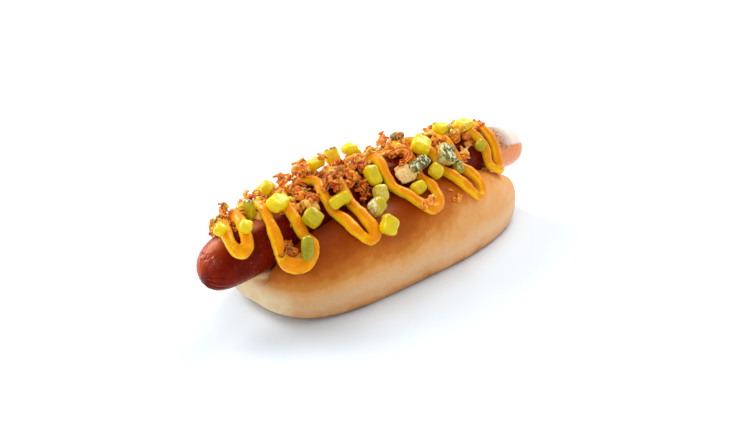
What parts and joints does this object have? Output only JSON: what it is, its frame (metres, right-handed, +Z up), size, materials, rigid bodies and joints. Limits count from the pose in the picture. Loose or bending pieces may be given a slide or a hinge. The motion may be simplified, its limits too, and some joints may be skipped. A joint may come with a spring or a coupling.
{
  "type": "hot dog",
  "caption": "Split bun holding a long arched sausage, topped with a zigzag bead of mustard, diced pickle and fried onion flakes.",
  "frame": {"origin": "centre of the bun's flat base, on the surface it rests on", "axes": "+Z up; +X along the hot dog, from the bun's square left end to its pointed right end; -Y is the side with the mustard bends over the bun"},
  "size_m": [0.1957, 0.0703, 0.0598],
  "materials": {
    "bun_crust": "satin",
    "sausage_skin": "glossy",
    "mustard": "glossy",
    "pickle": "wet",
    "fried_onion": "matte"
  },
  "bodies": {
    "root": {"bun": "bun_crust", "sausage": "sausage_skin", "mustard": "mustard", "pickle_01": "pickle", "pickle_02": "pickle", "pickle_03": "pickle", "pickle_04": "pickle", "pickle_05": "pickle", "pickle_06": "pickle", "pickle_07": "pickle", "pickle_08": "pickle", "pickle_09": "pickle", "pickle_10": "pickle", "pickle_11": "pickle", "pickle_12": "pickle", "pickle_13": "pickle", "pickle_14": "pickle", "pickle_15": "pickle", "pickle_16": "pickle", "pickle_17": "pickle", "pickle_18": "pickle", "pickle_19": "pickle", "pickle_20": "pickle", "pickle_21": "pickle", "pickle_22": "pickle", "pickle_23": "pickle", "pickle_24": "pickle", "pickle_25": "pickle", "pickle_26": "pickle", "pickle_27": "pickle", "pickle_28": "pickle", "pickle_29": "pickle", "onion_01": "fried_onion", "onion_02": "fried_onion", "onion_03": "fried_onion", "onion_04": "fried_onion", "onion_05": "fried_onion", "onion_06": "fried_onion", "onion_07": "fried_onion", "onion_08": "fried_onion", "onion_09": "fried_onion", "onion_10": "fried_onion", "onion_11": "fried_onion", "onion_12": "fried_onion", "onion_13": "fried_onion", "onion_14": "fried_onion", "onion_15": "fried_onion", "onion_16": "fried_onion", "onion_17": "fried_onion", "onion_18": "fried_onion", "onion_19": "fried_onion"}
  },
  "joints": []
}
